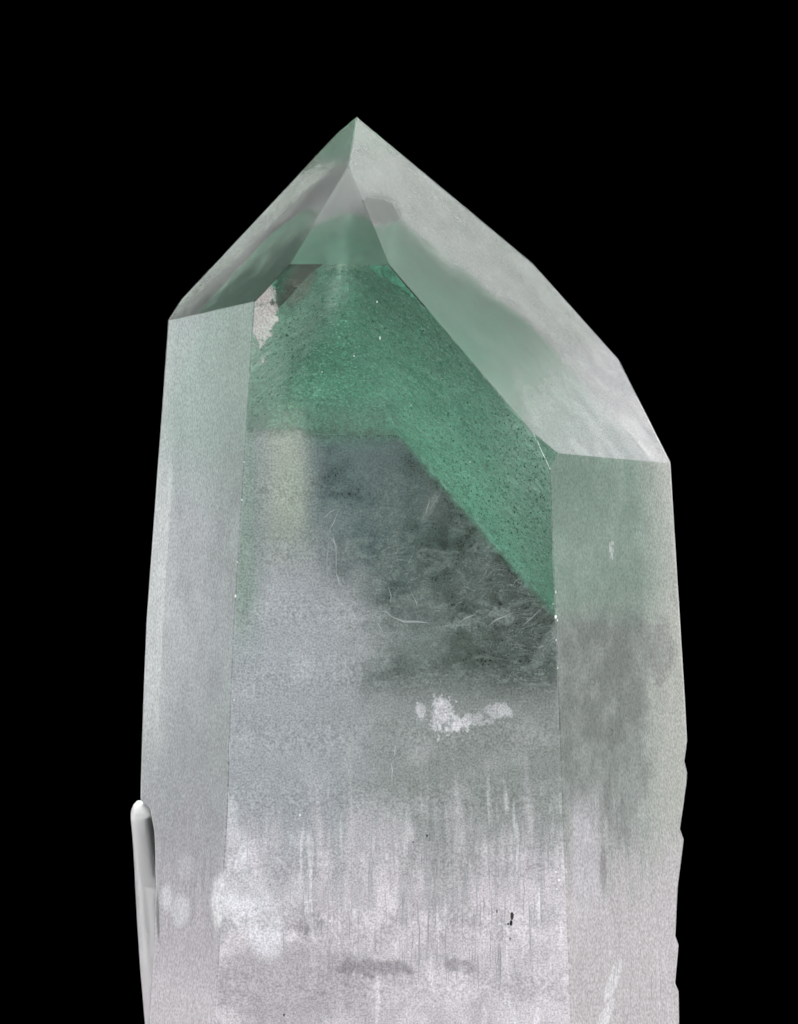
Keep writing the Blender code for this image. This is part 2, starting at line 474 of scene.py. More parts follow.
# %% The side crystal
# mm below the apex, then the blade's outer and inner side in mm left of the
# axis, and half its depth from front to back
SIDE_LEVELS = [
    (50.00, 16.05, 15.45, 0.70), (50.25, 16.28, 15.05, 1.35), (50.60, 16.42, 14.50, 1.90),
    (50.95, 16.46, 14.50, 2.20), (51.30, 16.43, 15.06, 2.35), (53.20, 16.26, 14.80, 2.50),
    (55.40, 16.14, 14.45, 2.60), (56.10, 16.12, 13.70, 2.65), (58.90, 15.97, 13.20, 2.75),
    (62.30, 15.74, 12.60, 2.90), (66.40, 15.38, 12.10, 3.00), (76.40, 14.88, 11.70, 3.10),
]
BLADE_POINTS = 24
BLADE_ROUNDING = 0.4
BLADE_MIDDLE = -1.35


def blade_ring(level, inset, lower, deepest):
    """One outline of the blade, a rounded oblong, moved in and down by some mm."""
    depth, outer, inner, half = level
    wide, deep = (outer - inner) / 2 - inset, half - inset
    ring = []
    for k in range(BLADE_POINTS):
        turn = 2 * math.pi * (k + 0.5) / BLADE_POINTS
        across, along = math.cos(turn), math.sin(turn)
        x = math.copysign(abs(across) ** BLADE_ROUNDING, across) * wide - (outer + inner) / 2
        y = math.copysign(abs(along) ** BLADE_ROUNDING, along) * deep + BLADE_MIDDLE
        ring.append(APEX + Vector((x, y, -min(depth + lower, deepest))) * MM)
    return ring


def blade_mesh(inset=0.0, lower=0.0, deepest=math.inf):
    """The thin blade, ring by ring, with a smooth skin."""
    mesh = loft([blade_ring(level, inset, lower, deepest) for level in SIDE_LEVELS])
    for face in mesh.faces:
        face.smooth = True
    return mesh


def join(thing, tool_mesh):
    """Union a mesh into an object for good."""
    tool = add_object("tool", tool_mesh)
    step = thing.modifiers.new("join", "BOOLEAN")
    step.operation, step.solver, step.object = "UNION", "EXACT", tool
    settle(thing)
    bpy.data.objects.remove(tool, do_unlink=True)


join(crystal, blade_mesh())
crystal.data.materials.clear()
for finish in (quartz, rubbed):
    crystal.data.materials.append(finish)
for polygon in crystal.data.polygons:
    polygon.material_index = 1 if polygon.use_smooth else 0
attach(crystal, "root")
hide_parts("quartz_body", "quartz_tip")
print("joined crystal:", len(crystal.data.polygons), "faces")

# %% [markdown]
# ## The fuchsite film
#
# The green film lies on the older point, on the three faces that look to the
# front. It is made as those faces, cut into small triangles and roughened,
# because the real film is a dusting of mica grains and not a smooth sheet. Its
# green is darker towards the summit, and paler at both ends, where milk shows
# through it.

# %% The fuchsite material
MM_PER_METRE = 1000.0


def fuchsite():
    """Grainy green mica, from broad patches down to dust."""
    material, tree, shader = new_material("fuchsite film", Specular_IOR_Level=0.4)
    spot = place(tree)
    patch = grain(spot, 150.0, 4.0, 0.6)
    dusty = grain(spot, 420.0, 3.0, 0.6)
    fine = grain(spot, 2900.0, 2.0, 0.6)
    speck = grain(spot, 5200.0, 1.0, 0.5).step(0.60, 0.70)
    dust = grain(spot, 8000.0, 0.0)
    height = axis(spot, "Z") * MM_PER_METRE + (patch - 0.5) * 16.0
    across = axis(spot, "X") * MM_PER_METRE + (patch - 0.5) * 6.0
    colour = coats(
        (patch + (dusty - 0.5) * 0.6).step(0.30, 0.70).blend((0.058, 0.210, 0.135), (0.121, 0.334, 0.229)),
        (height.step(46.0, 62.0) * 0.76, (0.005, 0.068, 0.034)),
        ((1 - across.step(-10.5, -5.0)) * 0.65, (0.155, 0.33, 0.235)),
        (across.step(5.5, 10.0) * 0.45, (0.165, 0.31, 0.235)),
        ((1 - fine.step(0.36, 0.54)) * 0.36, (0.008, 0.055, 0.030)),
        (fine.step(0.58, 0.70) * 0.35, (0.13, 0.31, 0.21)),
        (speck * 0.30, (0.26, 0.46, 0.35)),
    )
    feed(tree, shader, "Base Color", colour * ((dust - 0.5) * 1.4 + 1.0))
    feed(tree, shader, "Roughness", fine * 0.4 + 0.35)
    bump(tree, shader, 0.6, 0.08 * MM, fine)
    return material


green = fuchsite()
print("finish:", green.name)

# %% The film's mesh
FILM_FACES = ("front", "right", "left")
FILM_INSET = 0.30
FILM_BOTTOM = 47.0
FILM_DEPTH = 0.25 * MM
FILM_CELL = 0.55 * MM

# the ridges beside the front face are worn round: how near them, from what
# height, and by how many passes
RIDGE_REACH = 2.4 * MM
RIDGE_FOOT = 54.5 * MM
RIDGE_PASSES = 24

# the summit is worn down, by how much and how far around it, in mm
SUMMIT_WEAR = 0.3
SUMMIT_REACH = 1.2

# bumps of the film: features per metre, and height in mm
FILM_BUMPS = ((900.0, 0.07), (2600.0, 0.04))


def older_point(inset):
    """The older point as a closed body, with the prism moved in by an inset in mm."""
    levels = [level for level in EDGE_LEVELS if level[0] < FILM_BOTTOM] + [level_at(FILM_BOTTOM)]
    mesh = loft([prism_ring(level, inset) for level in levels])
    for compass, from_axis, _, distance in POINT_FACES.values():
        cut(mesh, outward(compass, from_axis), distance * MM)
    return mesh


def on_front_ridge(point):
    """True near the ridges on either side of the film's front face."""
    depths = {}
    for name in FILM_FACES:
        compass, from_axis, _, distance = POINT_FACES[name]
        depths[name] = distance * MM - (point - APEX).dot(outward(compass, from_axis))
    return depths["front"] < RIDGE_REACH and min(depths["left"], depths["right"]) < RIDGE_REACH


def settle_rim(mesh):
    """Put the rim's quads in order of place, because solidify lists them in a new order each run."""
    sheet = [f for f in mesh.faces if len(f.verts) == 3]
    rim = sorted((f for f in mesh.faces if len(f.verts) > 3), key=lambda f: f.calc_center_median()[:])
    rank = {face: number for number, face in enumerate(sheet + rim)}
    mesh.faces.sort(key=rank.get)


def film_mesh():
    """The older point's three front faces as one thin, roughened, closed skin."""
    mesh = older_point(FILM_INSET)
    normals = [outward(*POINT_FACES[name][:2]) for name in FILM_FACES]
    bare = [f for f in mesh.faces if not any(f.normal.dot(n) > 0.999 for n in normals)]
    bmesh.ops.delete(mesh, geom=bare, context="FACES")
    refine(mesh, FILM_CELL, 7)
    bmesh.ops.solidify(mesh, geom=mesh.faces[:], thickness=FILM_DEPTH)
    settle_rim(mesh)
    mesh.normal_update()
    ridge = [v for v in mesh.verts if v.co.z > RIDGE_FOOT and on_front_ridge(v.co)]
    for _ in range(RIDGE_PASSES):
        bmesh.ops.smooth_vert(
            mesh, verts=ridge, factor=0.5, use_axis_x=True, use_axis_y=True, use_axis_z=True,
        )
    mesh.normal_update()
    summit = max((v.co for v in mesh.verts), key=lambda p: p.z).copy()
    for v in mesh.verts:
        near = (v.co - summit).length / MM
        v.co.z -= SUMMIT_WEAR * MM * math.exp(-(near / SUMMIT_REACH) ** 2)
    mesh.normal_update()
    for v in mesh.verts:
        rough = sum(noise.noise(v.co * scale) * height for scale, height in FILM_BUMPS)
        v.co += v.normal * rough * MM
    bmesh.ops.recalc_face_normals(mesh, faces=mesh.faces)
    return mesh


film = add_object("fuchsite_film", film_mesh(), green)
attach(film, "root")
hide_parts("fuchsite_phantom")
print("film:", len(film.data.polygons), "triangles")

# %% [markdown]
# ## Milky quartz
#
# The root of the crystal is full of tiny fluid bubbles that scatter light, and
# they thin out upwards in clouds and veils. Fog in a volume would be the direct
# way, but it is slow and a game or web model can't carry it. Skins that follow
# the crystal's own faces, each with a patchy alpha, give the same depth and
# stay plain meshes. To set a cloud or a grain in its place, the camera's own
# geometry turns a pixel of the photograph into a point on a face.

# %% Where a point of the photograph lies
PIXELS_WIDE, PIXELS_HIGH, FOCAL = 798.0, 1024.0, 4500.0
EYE = APEX + Vector((13.356, -328.405, -43.821)) * MM
RIGHT = Vector((0.99949101, 0.03169416, -0.00363374))
UP = Vector((0.00505303, -0.04481631, 0.99898247))
BACK = Vector((0.03149906, -0.99849235, -0.04495365))


def on_face(px, py, name, behind=0.0):
    """The point behind a prism face, in mm, that a pixel of the photograph shows."""
    compass, distance, _ = PRISM_FACES[name]
    normal = face_normal(name)
    origin = APEX + outward(compass, 90.0) * distance * MM - normal * behind * MM
    ray = RIGHT * (px - PIXELS_WIDE / 2) + UP * (PIXELS_HIGH / 2 - py) - BACK * FOCAL
    return EYE + ray * ((origin - EYE).dot(normal) / ray.dot(normal))


for pixel in ((388.5, 265.5), (550.0, 450.0), (310.0, 545.0), (400.0, 700.0)):
    print("front face at pixel", pixel, "is at mm", [round(v / MM, 2) for v in on_face(*pixel, "front")])

# %% Milk material
SIDE_DUST, FINE_DUST = 5200.0, 8000.0


def fog(tree, spot, scale, stretch=1.0, detail=3.0, shift=0.0):
    """Noise between 0 and 1 that is drawn out along the crystal by a stretch."""
    moved = (shift, shift * 0.7, shift * 0.4)
    values = {"Vector": spot, "Scale": (1.0, 1.0, 1.0 / stretch), "Location": moved}
    return grain(node(tree, "ShaderNodeMapping", values=values), scale, detail)


def slanted(tree, spot):
    """Noise whose wisps climb to the right, as in a healed crack."""
    values = {"Vector": spot, "Rotation": (0.0, 0.6, 0.0), "Scale": (1.0, 1.0, 2.0)}
    return grain(node(tree, "ShaderNodeMapping", values=values), 480.0, 4.0, 0.65, 1.2)


class Spot:
    """A place on a skin: its coordinates in mm, and the noises that roughen every mask.

    Cloud, mottle, thread and grit are noises from 0 to 1, from broad to fine. Drift,
    fray, hair and nick are the same noises around 0, to shift an outline with.
    """

    def __init__(self, tree, dust):
        where = place(tree)
        self.x, self.z = (axis(where, letter) * MM_PER_METRE for letter in "XZ")
        self.cloud = fog(tree, where, 105.0, 1.4)
        self.mottle = fog(tree, where, 420.0, 1.0, 4.0, 0.2)
        self.thread = fog(tree, where, 1300.0, 10.0, 2.0, 0.3)
        self.grit = fog(tree, where, 2400.0, 1.2, 2.0, 0.5)
        self.dust = fog(tree, where, dust, 1.0, 0.0, 0.1)
        self.drift, self.fray = self.cloud - 0.5, self.mottle - 0.5
        self.hair, self.nick = self.thread - 0.5, self.grit - 0.5
        crack = slanted(tree, where)
        off = crack - 0.47
        self.wisp = crack.step(0.50, 0.66)
        self.vein = (1 - off * off * 2500.0).most(0.0) * self.mottle.step(0.44, 0.56)


def milk_material(name, mask, tones, dust=FINE_DUST):
    """White haze: a mask of place gives its alpha, if it has one, and tones of place its colour."""
    material, tree, shader = new_material(name, Roughness=0.85, Specular_IOR_Level=0.0)
    p = Spot(tree, dust)
    if mask:
        feed(tree, shader, "Alpha", mask(p).most(0.0).least(1.0))
    feed(tree, shader, "Base Color", tones(p) * ((p.dust - 0.5) * 0.9 + p.nick * 0.3 + 1.0))
    return material


print("the dust on the milk is", 1 / (FINE_DUST * MM), "mm fine")

# %% [markdown]
# The rind is the milk just behind each face. On the broad front face it leaves
# a window under the green film. The window's dark grey green is painted shade for
# the black surround seen through the clear quartz. The rind thickens to a lavender
# cloud at the left and a white, fibrous root below. A mask says where something
# lies: it is a slope over so many millimetres of height or width, or an oval,
# roughened by noise. The numbers in the masks are places on the crystal in mm,
# X across and Z up, as they were measured in the photograph.

# %% Shapes that the masks are made of
# an oval fades out between these squares of its own half width
OVAL_EDGE = (0.3, 1.5)


def smudge(p, middle_x, middle_z, wide, high, ragged=5.0, fine=0.5):
    """1 inside a ragged oval and 0 outside; fine is the finest noise's share."""
    across = (p.x - middle_x) * (1 / wide)
    along = (p.z - middle_z) * (1 / high)
    rough = p.fray * ragged + p.nick * (ragged * fine)
    return 1 - (across * across + along * along + rough).step(*OVAL_EDGE)


def leaning(p, middle_x, middle_z, wide, high, slope):
    """1 inside a narrow oval that leans to one side as it rises."""
    across = (p.x - middle_x - (p.z - middle_z) * slope) * (1 / wide)
    along = (p.z - middle_z) * (1 / high)
    return 1 - (across * across + along * along + p.nick * 0.8).step(*OVAL_EDGE)


def group(p, shape, rows):
    """The strongest of several smudges or leaning ovals; each row begins with its strength."""
    total = None
    for strength, *measures in rows:
        mask = shape(p, *measures) * strength
        total = total.most(mask) if total else mask
    return total


def root(p, low, high):
    """The white root: its upper edge is torn into upright fibres."""
    return 1 - (p.z + p.hair * 16.0 + p.drift * 8.0).step(low, high)


def film_line(p):
    """Height above the film's lower edge on the front face, in mm, 0 at the edge."""
    return p.z + (p.x + 0.2).most(0.0) * 1.154 + p.nick * 0.8 + p.fray * 0.6 - 51.9


def under_film(p):
    """1 where the green film lies bare behind the front face."""
    return film_line(p).step(-0.1, 0.9)


def green_foot(p):
    """1 where the milk is green, as far as the film: its foot is softer than its slanting side."""
    soft = 0.35 + (1 - p.x.step(-3.0, 0.5)) * 0.75
    return film_line(p).step(soft * -1.0, soft)


def left_margin(p):
    """1 beside the front's left edge, as far as the pale band reaches."""
    return 1 - (p.x + p.fray * 1.2).step(-7.6, -5.2)


def band(p):
    """The pale upright band between the window and the left edge: a painted reflection of the side light,
    which the back left face mirrors inside the crystal.
    """
    return (p.x + p.fray * 1.2).step(-10.3, -8.6) * left_margin(p) * p.z.step(40.0, 47.0)


def foot_mist(p):
    """Pale mist over the film's foot, beside the left edge."""
    return left_margin(p) * (1 - p.z.step(51.6, 55.2))


def foot_veil(p):
    """A grey veil over the rest of the level foot."""
    return (1 - p.x.step(-2.0, 1.0)) * (1 - p.z.step(53.4, 55.6))


def pale_green(p):
    """A thin pale veil over the film's left end."""
    return smudge(p, -9.7, 56.4, 1.7, 2.6, 3.0)


def pink_edge(p):
    """The pinkish white growth at the left edge, above the film's end."""
    return smudge(p, -9.9, 60.2, 0.9, 2.9)


def dark_corner(p):
    """The dull grey corner under the front face's upper edge, on the left."""
    return leaning(p, -7.3, 62.8, 1.15, 2.0, 0.42)


def corner_film(p):
    """1 in the sliver beside the point's right face, which the film fills too."""
    return (p.x + p.nick * 0.6).step(-2.6, -1.9) * (p.z + p.x * 0.714 + p.nick * 0.6).step(62.0, 62.6)


def front_cover(p):
    """1 where the front's milk is thick, 0 in the window, with a wide misty border."""
    rough = p.drift * 7.0 + p.fray * 4.0
    border = (45.3 - p.z).most(0.0).least(6.0) * 0.75 - 5.6
    left = (border - p.x + rough).step(-2.9, 2.7) * (1 - (p.z + rough * 0.5).step(44.0, 49.0))
    low = 1 - (p.z + rough * 0.5).step(32.0, 36.2)
    return left.most(low).most(left_margin(p) * p.z.step(40.0, 47.0))


def curtains(p):
    """Fine white fibres that hang in the root."""
    return p.thread.step(0.56, 0.68) * (1 - (p.z + p.drift * 12.0).step(21.0, 29.0)) * p.x.step(-12.3, -10.8)


# %% Patches, flecks and smears of the front
# strength, middle across and up, half width and height, raggedness, fine share
GRANULAR_PATCHES = (
    (0.50, -12.0, 25.2, 0.50, 1.80, 2.5, 0.5), (0.75, -11.4, 22.9, 0.90, 1.70, 1.8, 0.3),
    (1.00, -11.2, 19.7, 2.30, 2.10, 1.6, 0.3), (1.00, -9.5, 17.3, 1.30, 1.80, 1.6, 0.3),
    (0.50, -7.5, 19.8, 0.60, 1.60, 3.0, 0.5), (1.00, 1.2, 32.7, 0.36, 0.60, 2.5, 1.6),
    (1.00, 2.6, 32.5, 0.75, 1.25, 2.5, 2.0), (1.00, 3.6, 31.9, 1.00, 0.55, 2.5, 2.0),
    (0.65, 5.1, 32.2, 1.00, 0.35, 3.0, 2.0), (0.65, 6.7, 32.8, 1.00, 0.45, 3.0, 2.0),
)
GREY_SMEARS = (
    (1.00, -2.0, 15.0, 2.60, 0.60, 4.5), (1.00, 3.8, 15.1, 1.10, 0.60, 4.5),
    (0.70, -7.2, 17.9, 1.50, 0.80, 5.0),
)
WINDOW_FLECKS = (
    (1.00, -1.5, 39.6, 0.60, 0.50, 4.0, 1.5), (1.00, 4.5, 39.0, 0.90, 0.50, 4.5, 1.5),
    (1.00, 7.0, 39.4, 1.10, 0.55, 4.5, 1.5),
)
# strength, middle across and up, half width and height, lean
WINDOW_STROKES = (
    (0.60, 9.9, 37.2, 0.50, 1.70, 0.5), (0.70, 2.0, 47.2, 0.35, 1.20, 0.5),
    (0.60, -5.1, 43.6, 0.35, 1.60, 0.1),
)
FILM_RIDGE = (-4.1, 62.2, 0.5, 1.9, 0.0)

print(len(GRANULAR_PATCHES), "patches and", len(WINDOW_FLECKS + WINDOW_STROKES), "flecks on the front")

# %% The front's milk
def rind_front(p):
    """Thick milk outside the window, and almost none where the film lies bare."""
    milk = 0.80 + front_cover(p) * 0.13 + p.fray * 0.1 + p.wisp * 0.06
    milk = milk.most(group(p, smudge, GRANULAR_PATCHES) * 0.97)
    strewn = smudge(p, -7.4, 62.8, 2.4, 1.6, 4.0) * (0.30 + p.grit.step(0.42, 0.60) * 0.5)
    above = 0.04 + (1 - p.z.step(46.0, 54.0)) * 0.05
    for veil in (
        pink_edge(p) * 0.65, strewn, corner_film(p) * 0.93, foot_mist(p) * 0.62, foot_veil(p) * 0.36,
        dark_corner(p) * 0.72, pale_green(p) * 0.30, leaning(p, *FILM_RIDGE) * 0.40,
    ):
        above = above.most(veil)
    film_behind = under_film(p)
    return film_behind * above + (1 - film_behind) * milk


def window_shade_paint(p):
    """The window's dark, painted shade for the black surround seen through clear quartz: bluish at the top
    left, darkest along the film, and wispy below.
    """
    across = (p.x + p.drift * 5.0 + p.fray * 3.0).step(-5.0, 4.5)
    low = 1 - (p.z + p.drift * 8.0).step(36.0, 46.0)
    haze = p.mottle.step(0.46, 0.62) * (1 - p.z.step(46.0, 52.0) * 0.6)
    strokes = 1 - (p.z + p.drift * 8.0).step(43.0, 50.0) * 0.8
    flecks = group(p, smudge, WINDOW_FLECKS).most(group(p, leaning, WINDOW_STROKES))
    return coats(
        across.blend((0.118, 0.165, 0.165), (0.068, 0.098, 0.086)),
        (low * 0.8, (0.108, 0.131, 0.118)),
        (haze * 0.32, (0.180, 0.222, 0.212)),
        ((1 - p.mottle.step(0.36, 0.50)) * 0.45, (0.052, 0.078, 0.068)),
        (smudge(p, 1.3, 38.4, 1.9, 2.6, 4.0) * 0.5, (0.215, 0.255, 0.245)),
        ((p.x + p.drift * 4.0).step(4.5, 7.5) * 0.55, (0.050, 0.064, 0.057)),
        (p.wisp * strokes * 0.42, (0.240, 0.285, 0.270)),
        (p.vein * strokes * 0.42, (0.350, 0.400, 0.385)),
        (flecks * 0.42, (0.330, 0.380, 0.370)),
    )


def cloud_tone(p):
    """The lavender cloud: greyer to the right and above, green along the left edge."""
    edge = (1 - (p.x + p.fray * 1.2).step(-11.0, -9.4)) * p.z.step(34.0, 42.0)
    return coats(
        (p.x + p.drift * 14.0).step(-9.5, 2.5).blend((0.318, 0.335, 0.354), (0.236, 0.257, 0.248)),
        (p.mottle.step(0.50, 0.72) * 0.26, (0.46, 0.47, 0.48)),
        ((p.z + p.drift * 4.0).step(39.5, 44.0) * 0.75, (0.228, 0.250, 0.250)),
        # painted reflection: the pale upright band that the back left face mirrors
        (band(p) * p.z.step(41.0, 47.0) * 0.9, (0.297, 0.335, 0.290)),
        (edge * 0.85, (0.205, 0.268, 0.236)),
    )


def tone_front(p):
    """Window and cloud, then the root over them, and last what lies over the film."""
    white = p.mottle.step(0.36, 0.64).blend((0.47, 0.45, 0.475), (0.585, 0.56, 0.59))
    granular = p.mottle.step(0.34, 0.62).blend((0.47, 0.47, 0.49), (0.62, 0.62, 0.65))
    green_milk = p.z.step(55.0, 58.0).blend((0.100, 0.205, 0.155), (0.060, 0.165, 0.112))
    dull = p.mottle.step(0.40, 0.60).blend((0.078, 0.098, 0.080), (0.125, 0.143, 0.120))
    clear = 1 - left_margin(p) * (1 - p.z.step(54.0, 56.0))
    return coats(
        # the window's dark grey green is painted shade for the black surround
        front_cover(p).blend(window_shade_paint(p), cloud_tone(p)),
        (root(p, 18.0, 27.0), white),
        (smudge(p, -1.6, 23.6, 2.6, 3.4, 4.0) * 0.45, (0.53, 0.51, 0.54)),
        (curtains(p) * 0.8, (0.70, 0.69, 0.72)),
        (smudge(p, -8.3, 13.9, 6.4, 3.4, 2.5) * 0.75, (0.385, 0.365, 0.385)),
        (group(p, smudge, GREY_SMEARS) * 0.56, (0.19, 0.175, 0.195)),
        (group(p, smudge, GRANULAR_PATCHES), granular),
        (green_foot(p) * clear, green_milk * (p.nick * 1.2 + 1.0)),
        (foot_veil(p) * under_film(p) * clear, (0.112, 0.140, 0.130)),
        (pale_green(p), (0.215, 0.330, 0.270)),
        (dark_corner(p), dull),
        (pink_edge(p), (0.54, 0.515, 0.50)),
    )


# %% [markdown]
# The left face is a pale, even satin that turns green near the film and white
# at the root, with a pale rim of painted light along its outer edge and the
# slit's last thin line in painted shade. The right face is mottled grey green,
# with a paler margin of painted light along its ragged right edge, a pale strip
# of painted light for a narrow lit facet, a thin groove in painted shade, and
# two white blades low down.

# %% The milk of the left face
# strength, middle across and up, half width and height, raggedness
WHITE_LUMPS = (
    (1.00, -17.0, 19.6, 0.60, 1.00, 2.6), (1.00, -16.0, 18.8, 0.70, 1.10, 2.6),
    (0.50, -15.6, 21.9, 0.70, 0.90, 3.0), (1.00, -12.4, 19.7, 1.10, 2.10, 1.8),
)
# the slit's last thin line, in painted shade: middle across and up, half width and height, lean
SLIT_SHADE_LINE = (-17.76, 18.2, 0.13, 1.7, -0.05)


def rind_left(p):
    """Even milk, thicker in the root."""
    milk = 0.74 + p.drift * 0.35 + p.fray * 0.3 + root(p, 14.0, 26.0) * 0.25
    return milk.most(group(p, smudge, WHITE_LUMPS) * 0.95)


def tone_left(p):
    """Satin grey, with a pale rim of painted light along the outer edge, and the slit's last thin line beside
    the side crystal in painted shade.
    """
    # painted light: a pale rim along the outer edge, where the side light shows
    edge = (p.x * -1.0 + p.drift * 2.0).step(16.4, 18.4) * p.z.step(24.0, 36.0)
    rising = p.z.step(24.0, 30.0) * 0.32 + p.z.step(40.0, 50.0) * 0.28
    inner = (p.x + p.fray * 1.5).step(-15.8, -11.8) * rising
    lump = p.x.step(-14.5, -13.0).blend((0.53, 0.53, 0.555), (0.64, 0.64, 0.66))
    return coats(
        (p.cloud + p.fray * 0.5).step(0.35, 0.65).blend((0.385, 0.407, 0.418), (0.470, 0.492, 0.512)),
        (1 - (p.z + p.drift * 8.0).step(29.0, 43.0), (0.325, 0.342, 0.353)),
        ((p.z + p.drift * 8.0).step(46.0, 54.0), (0.355, 0.43, 0.405)),
        (edge * 0.6, (0.56, 0.585, 0.585)),
        (inner, (0.21, 0.275, 0.245)),
        (root(p, 15.0, 31.0), (0.408, 0.382, 0.414)),
        (1 - (p.z + p.drift * 4.0).step(12.0, 17.0), (0.49, 0.465, 0.49)),
        # painted shade in the slit's crevice
        (leaning(p, *SLIT_SHADE_LINE), (0.15, 0.15, 0.15)),
        (group(p, smudge, WHITE_LUMPS), lump),
    )


# %% The milk of the right face
# strength, middle across and up, half width and height, lean
WHITE_BLADES = ((0.85, 14.5, 13.7, 0.42, 1.5, 0.33), (0.85, 13.8, 11.0, 0.46, 1.5, 0.46))


def rind_right(p):
    """Mottled milk, thicker at the margin, where it carries painted light, in the root and below the film's
    edge.
    """
    # thicker milk at the right margin, so that its painted light shows
    margin = (p.x + p.drift * 2.0).step(15.5, 18.5)
    low = 1 - (p.z + p.drift * 3.0 + p.fray * 1.5).step(39.8, 41.6)
    corner = (1 - p.x.step(12.5, 16.0)) * p.z.step(44.0, 48.5)
    return (0.66 + margin * 0.25 + low * 0.10 + corner * 0.22 + (1 - p.z.step(18.0, 30.0)) * 0.2
            + p.drift * 0.2 + p.fray * 0.25)


def tone_right(p):
    """Grey green above, white in the root, with two white blades; its pale margin and one pale strip are
    painted light, and a thin dark line is painted shade in a groove.
    """
    corner = (1 - (p.x + p.fray * 1.5).step(12.5, 16.0)) * p.z.step(44.0, 48.5)
    # painted light: a pale strip for a narrow lit facet beside the front right edge
    lit_facet_strip = (p.x + p.hair * 0.8).step(11.55, 11.85) * (1 - p.x.step(12.9, 14.2)) * (1 - p.z.step(25.0, 28.0))
    return coats(
        (p.mottle * 0.6 + p.cloud * 0.4).step(0.40, 0.62).blend((0.205, 0.230, 0.212), (0.30, 0.33, 0.31)),
        ((p.z + p.drift * 3.0).step(37.5, 41.5) * 0.6, (0.255, 0.345, 0.292)),
        (corner * 0.8, (0.125, 0.195, 0.155)),
        # painted light: the paler margin where the side light glows through the right edge
        ((p.x + p.drift * 2.0).step(16.2, 19.0) * 0.8, (0.435, 0.445, 0.41)),
        (smudge(p, 17.9, 37.4, 1.4, 2.4, 3.0) * 0.5, (0.17, 0.18, 0.175)),
        (root(p, 17.5, 28.0), (0.505, 0.48, 0.495)),
        (lit_facet_strip * p.z.step(17.0, 21.0) * 0.7, (0.58, 0.56, 0.60)),
        (group(p, leaning, WHITE_BLADES), (0.70, 0.69, 0.71)),
        # painted shade: a thin dark line in a groove low on the right
        (smudge(p, 13.9, 21.6, 0.25, 1.9, 1.5) * 0.5, (0.20, 0.20, 0.20)),
        (curtains(p) * 0.4, (0.66, 0.65, 0.68)),
    )


# %% [markdown]
# The back faces, which the photograph doesn't show, carry the same milk in a
# plainer form, thick in the root and thin above it. The point's faces are
# clear at the left and the front, and misty at the right, where the white low
# down is partly haze and partly painted light, with a dark grey corner near the
# apex.

# %% The milk at the back
def rind_back(p):
    """Only the root is milky, so that light comes in behind the film."""
    return (1 - (p.z + p.drift * 16.0).step(12.0, 33.0)) * 0.85 + p.fray * 0.05


def rind_side_back(p):
    """A thin, patchy veil that thickens downwards."""
    return 0.38 + (1 - p.z.step(22.0, 42.0)) * 0.45 + p.drift * 0.3 + p.fray * 0.3


def rind_back_left(p):
    """The same veil, left off behind the window."""
    away = (p.x * -1.0 + p.fray * 2.0).step(8.0, 13.0)
    return rind_side_back(p) * away.most(1 - p.z.step(26.0, 36.0))


def tone_plain(p):
    """Mottled white, warmer in the root."""
    tone = (p.cloud * 0.6 + p.mottle * 0.4).step(0.38, 0.62).blend((0.42, 0.44, 0.45), (0.58, 0.59, 0.60))
    return root(p, 10.0, 28.0).blend(tone, (0.64, 0.61, 0.64))


# %% The milk behind the point
def dark_triangle(p):
    """The dark corner at the top of the point's right face."""
    return smudge(p, -1.9, 68.5, 1.6, 1.3, 1.2)


def right_slope(p):
    """Distance to the right and down the point's right face."""
    return p.x - p.z * 0.55 + p.drift * 6.0


def rind_point_right(p):
    """Mist above the film, and low on the right a thicker layer that is partly haze and partly painted light.
    """
    above = (p.z + p.x * 0.774 + p.drift * 4.0 + p.nick * 1.0).step(66.6, 68.6)
    # thicker low on the right, where the white paint is partly painted light
    low = right_slope(p).step(-27.5, -17.5)
    haze = (above * 0.45).most(low * 0.55) + 0.06 + p.fray * 0.2
    return haze.most(dark_triangle(p) * 0.85)


def tone_point(p):
    """Grey green mist, and white low on the right that is partly haze and partly painted light."""
    return coats(
        p.mottle.step(0.40, 0.70).blend((0.372, 0.406, 0.370), (0.428, 0.457, 0.427)),
        # white low on the right: partly haze, partly painted light for the bright reflection near the corner
        (right_slope(p).step(-24.0, -14.0),
         p.mottle.step(0.40, 0.62).blend((0.475, 0.480, 0.488), (0.590, 0.580, 0.597))),
        (dark_triangle(p), (0.112, 0.126, 0.112)),
    )


def clear_point(p):
    """A breath of haze."""
    return p.drift * 0.1 + 0.09 + p.fray * 0.1 + p.z.step(66.0, 68.5) * 0.12


def left_point_dark(p):
    """1 at the lower left corner of the point's left face."""
    return 1 - (p.z - p.x * 0.6 + p.fray * 4.0).step(70.0, 73.5)


def rind_point_left(p):
    """Mist near the apex, and a dark veil at the lower left."""
    high = (p.z - p.x * 0.88 + p.fray * 2.0).step(75.8, 77.2)
    return (high * 0.38).most(left_point_dark(p) * 0.62) + 0.08


def tone_point_left(p):
    """Pale mist, green at the very top and dark at the lower left."""
    return coats(
        p.mottle.step(0.40, 0.70).blend((0.50, 0.55, 0.50), (0.60, 0.65, 0.60)),
        ((p.z + p.fray * 2.0).step(71.6, 73.4), (0.14, 0.24, 0.18)),
        (left_point_dark(p), (0.065, 0.085, 0.075)),
    )


# %% [markdown]
# The rind is one closed body, a little smaller than the crystal. Each of its
# faces takes the milk of the crystal's face that lies just outside it.

# %% The rind
RIND_INSET = 0.14
RIND_FOOT = 0.3 * MM

# the milk of each face: its mask, its tones, and its dust where that is coarser
RIND = {
    "front": (rind_front, tone_front),
    "left": (rind_left, tone_left, SIDE_DUST),
    "right": (rind_right, tone_right, SIDE_DUST),
    "back_left": (rind_back_left, tone_plain),
    "back_right": (rind_side_back, tone_plain),
    "back": (rind_back, tone_plain),
    "point_right": (rind_point_right, tone_point),
    "point_left": (rind_point_left, tone_point_left),
    "point": (clear_point, tone_point),
}


